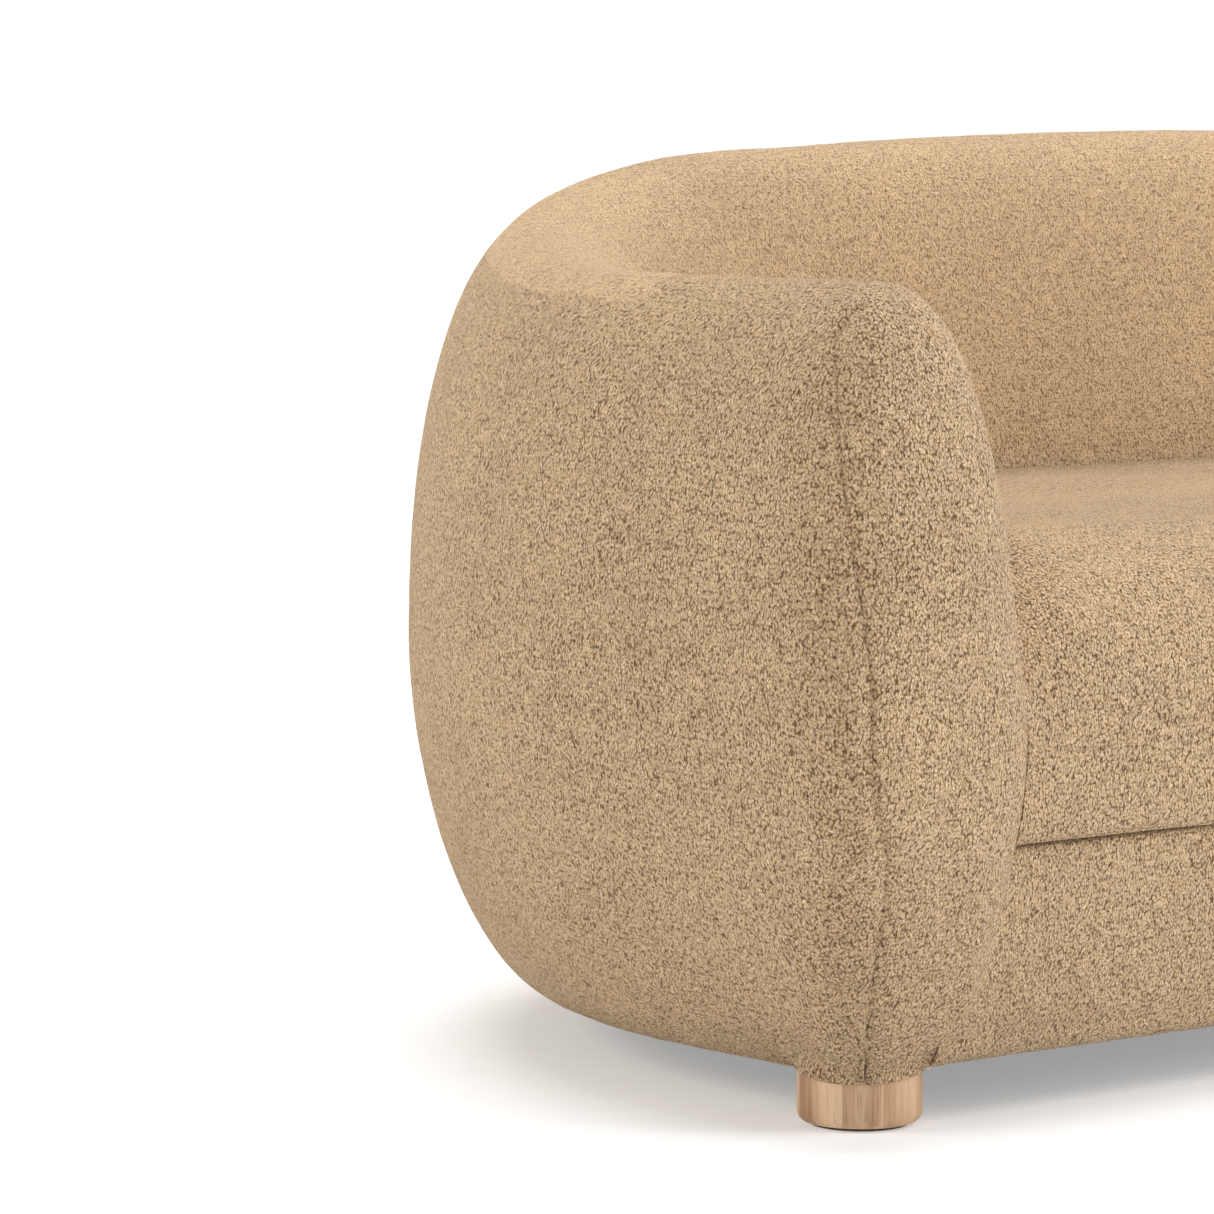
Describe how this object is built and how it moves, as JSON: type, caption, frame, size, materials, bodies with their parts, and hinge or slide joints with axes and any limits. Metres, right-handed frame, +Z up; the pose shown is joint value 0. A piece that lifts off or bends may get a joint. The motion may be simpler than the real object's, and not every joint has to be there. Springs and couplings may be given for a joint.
{
  "type": "sofa with wooden legs",
  "caption": "Round-cornered sofa: a barrel-shaped wall of arms and back in nubby cloth round a bench seat, on short turned wooden legs.",
  "frame": {"origin": "on the floor, in the middle of the sofa's outline", "axes": "+X along the sofa's length towards the sitter's left hand, +Y towards the back, +Z up; the sitter faces -Y"},
  "size_m": [2.26, 0.955, 0.7409],
  "materials": {
    "cloth": "matte",
    "leg_wood": "satin",
    "frame_wood": "matte",
    "foam": "matte",
    "steel": "satin",
    "felt": "matte",
    "webbing": "matte",
    "dust_sheet": "matte"
  },
  "bodies": {
    "root": {"front_left_leg": "leg_wood", "front_left_leg_pad": "felt", "front_left_leg_bolt": "steel", "front_left_leg_block": "frame_wood", "front_right_leg": "leg_wood", "front_right_leg_pad": "felt", "front_right_leg_bolt": "steel", "front_right_leg_block": "frame_wood", "rear_left_leg": "leg_wood", "rear_left_leg_pad": "felt", "rear_left_leg_bolt": "steel", "rear_left_leg_block": "frame_wood", "rear_right_leg": "leg_wood", "rear_right_leg_pad": "felt", "rear_right_leg_bolt": "steel", "rear_right_leg_block": "frame_wood", "front_rail": "frame_wood", "back_rail": "frame_wood", "back_top_rail": "frame_wood", "centre_back_post": "frame_wood", "left_side_rail": "frame_wood", "left_corner_rail": "frame_wood", "left_cross_rail": "frame_wood", "left_arm_post": "frame_wood", "left_arm_top_rail": "frame_wood", "left_corner_top_rib": "frame_wood", "left_back_post": "frame_wood", "right_side_rail": "frame_wood", "right_corner_rail": "frame_wood", "right_cross_rail": "frame_wood", "right_arm_post": "frame_wood", "right_arm_top_rail": "frame_wood", "right_corner_top_rib": "frame_wood", "right_back_post": "frame_wood", "seat_spring_1": "steel", "seat_spring_2": "steel", "seat_spring_3": "steel", "seat_spring_4": "steel", "seat_spring_5": "steel", "seat_spring_6": "steel", "front_spring_strip": "steel", "rear_spring_strip": "steel", "seat_insulator": "felt", "back_webbing_low": "webbing", "back_webbing_middle": "webbing", "back_webbing_high": "webbing", "left_arm_foam": "foam", "right_arm_foam": "foam", "left_corner_foam": "foam", "right_corner_foam": "foam", "back_foam": "foam", "seat_foam": "foam", "front_border_foam": "foam", "outside_cover": "cloth", "left_arm_cover": "cloth", "right_arm_cover": "cloth", "back_cover": "cloth", "seat_cover": "cloth", "front_border_cover": "cloth", "dust_cover": "dust_sheet"}
  },
  "joints": []
}
